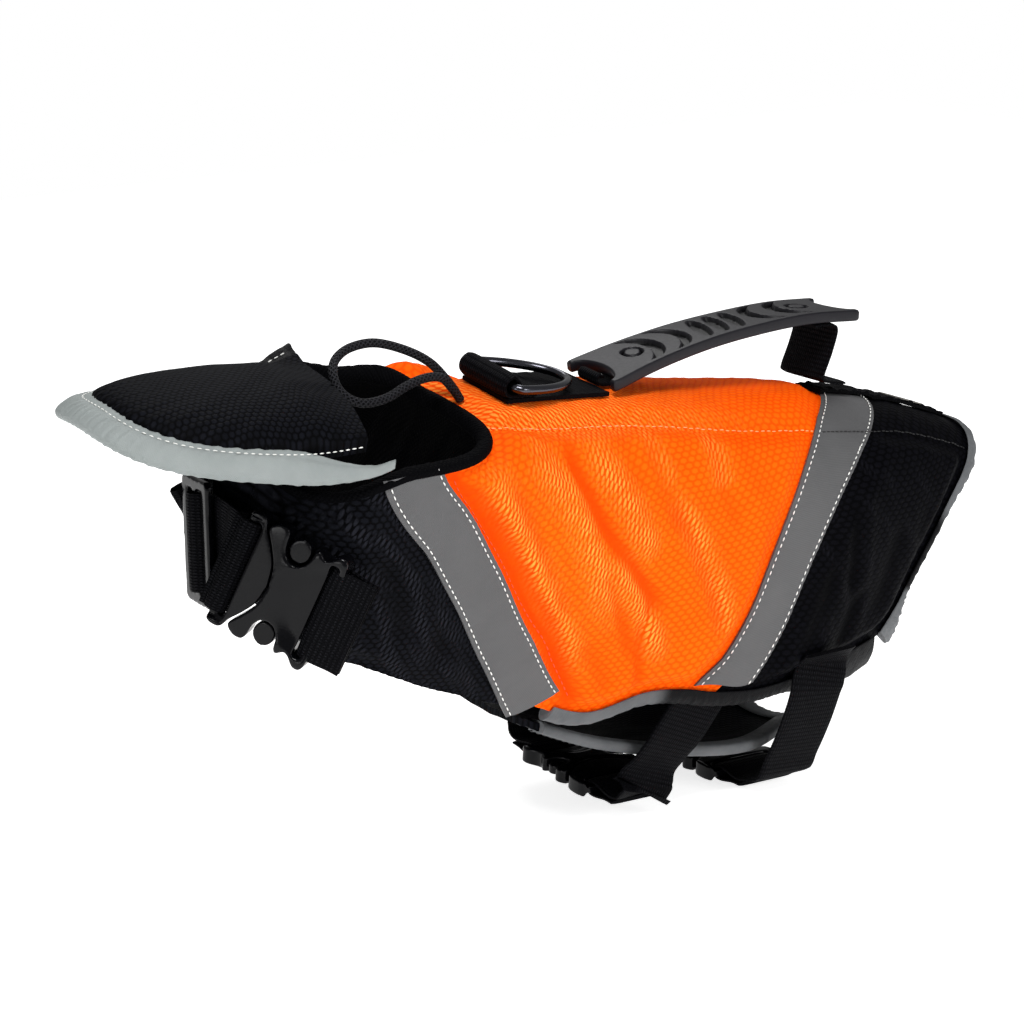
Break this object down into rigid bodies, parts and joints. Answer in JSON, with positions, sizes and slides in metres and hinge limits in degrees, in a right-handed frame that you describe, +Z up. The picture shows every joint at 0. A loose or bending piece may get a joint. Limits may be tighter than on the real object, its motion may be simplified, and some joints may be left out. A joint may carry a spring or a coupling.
{
  "type": "dog life jacket",
  "caption": "Padded dog life jacket, filled out as worn, with a domed chin float, a moulded back handle, a D-ring, and chest and belly straps with side-release buckles.",
  "frame": {"origin": "Against the wearer's back, on the inner face of the cloth at the spine, about midway along the back.", "axes": "+X runs from the neck to the tail, +Z is up, away from the wearer's back, and the wearer's left side is at -Y."},
  "size_m": [0.4799, 0.1415, 0.2309],
  "materials": {
    "orange_mesh_cloth": "matte honeycomb mesh",
    "black_mesh_cloth": "matte honeycomb mesh",
    "black_lining": "plain woven",
    "reflective_tape": "grey reflective tape",
    "black_webbing": "ribbed webbing",
    "black_plastic": "satin moulded",
    "dark_steel": "polished dark",
    "blank_label": "matte",
    "black_braided_cord": "braided"
  },
  "bodies": {
    "jacket": {"side_panel_orange_left": "orange_mesh_cloth", "side_panel_orange_right": "orange_mesh_cloth", "back_panel_orange": "orange_mesh_cloth", "back_panel_black": "black_mesh_cloth", "rear_panel_black_left": "black_mesh_cloth", "rear_panel_black_right": "black_mesh_cloth", "front_panel_black_left": "black_mesh_cloth", "front_panel_black_right": "black_mesh_cloth", "chin_float_pad": "black_mesh_cloth", "belly_panel": "black_mesh_cloth", "lining": "black_lining", "front_tape_left": "reflective_tape", "front_tape_right": "reflective_tape", "rear_tape_left": "reflective_tape", "rear_tape_right": "reflective_tape", "rear_tape_back": "reflective_tape", "hem_binding_left": "reflective_tape", "hem_binding_right": "reflective_tape", "rear_binding": "reflective_tape", "chin_float_binding": "reflective_tape", "belly_binding": "reflective_tape", "neck_binding": "black_webbing", "spine_webbing": "black_webbing", "spine_strip_rear": "black_webbing", "handle_webbing_front": "black_webbing", "handle_webbing_rear": "black_webbing", "d_ring_loop": "black_webbing", "belly_strap_front_left": "black_webbing", "belly_strap_front_right": "black_webbing", "belly_strap_rear_left": "black_webbing", "belly_strap_rear_right": "black_webbing", "chest_strap_left": "black_webbing", "chest_strap_right": "black_webbing", "belly_buckle_front_socket": "black_plastic", "belly_buckle_front_plug": "black_plastic", "belly_buckle_rear_socket": "black_plastic", "belly_buckle_rear_plug": "black_plastic", "chest_buckle_socket": "black_plastic", "chest_buckle_plug": "black_plastic", "chest_slider": "black_plastic", "handle_grip": "black_plastic", "spine_label": "blank_label", "neck_cord": "black_braided_cord"},
    "ring": {"d_ring": "dark_steel"}
  },
  "joints": [
    {"name": "d_ring_hinge", "type": "hinge", "parent": "jacket", "child": "ring", "pos_m": [-0.116, -0.00773, 0.02848], "axis": [0, -0.9914, -0.131], "range_deg": [0, 110]}
  ]
}
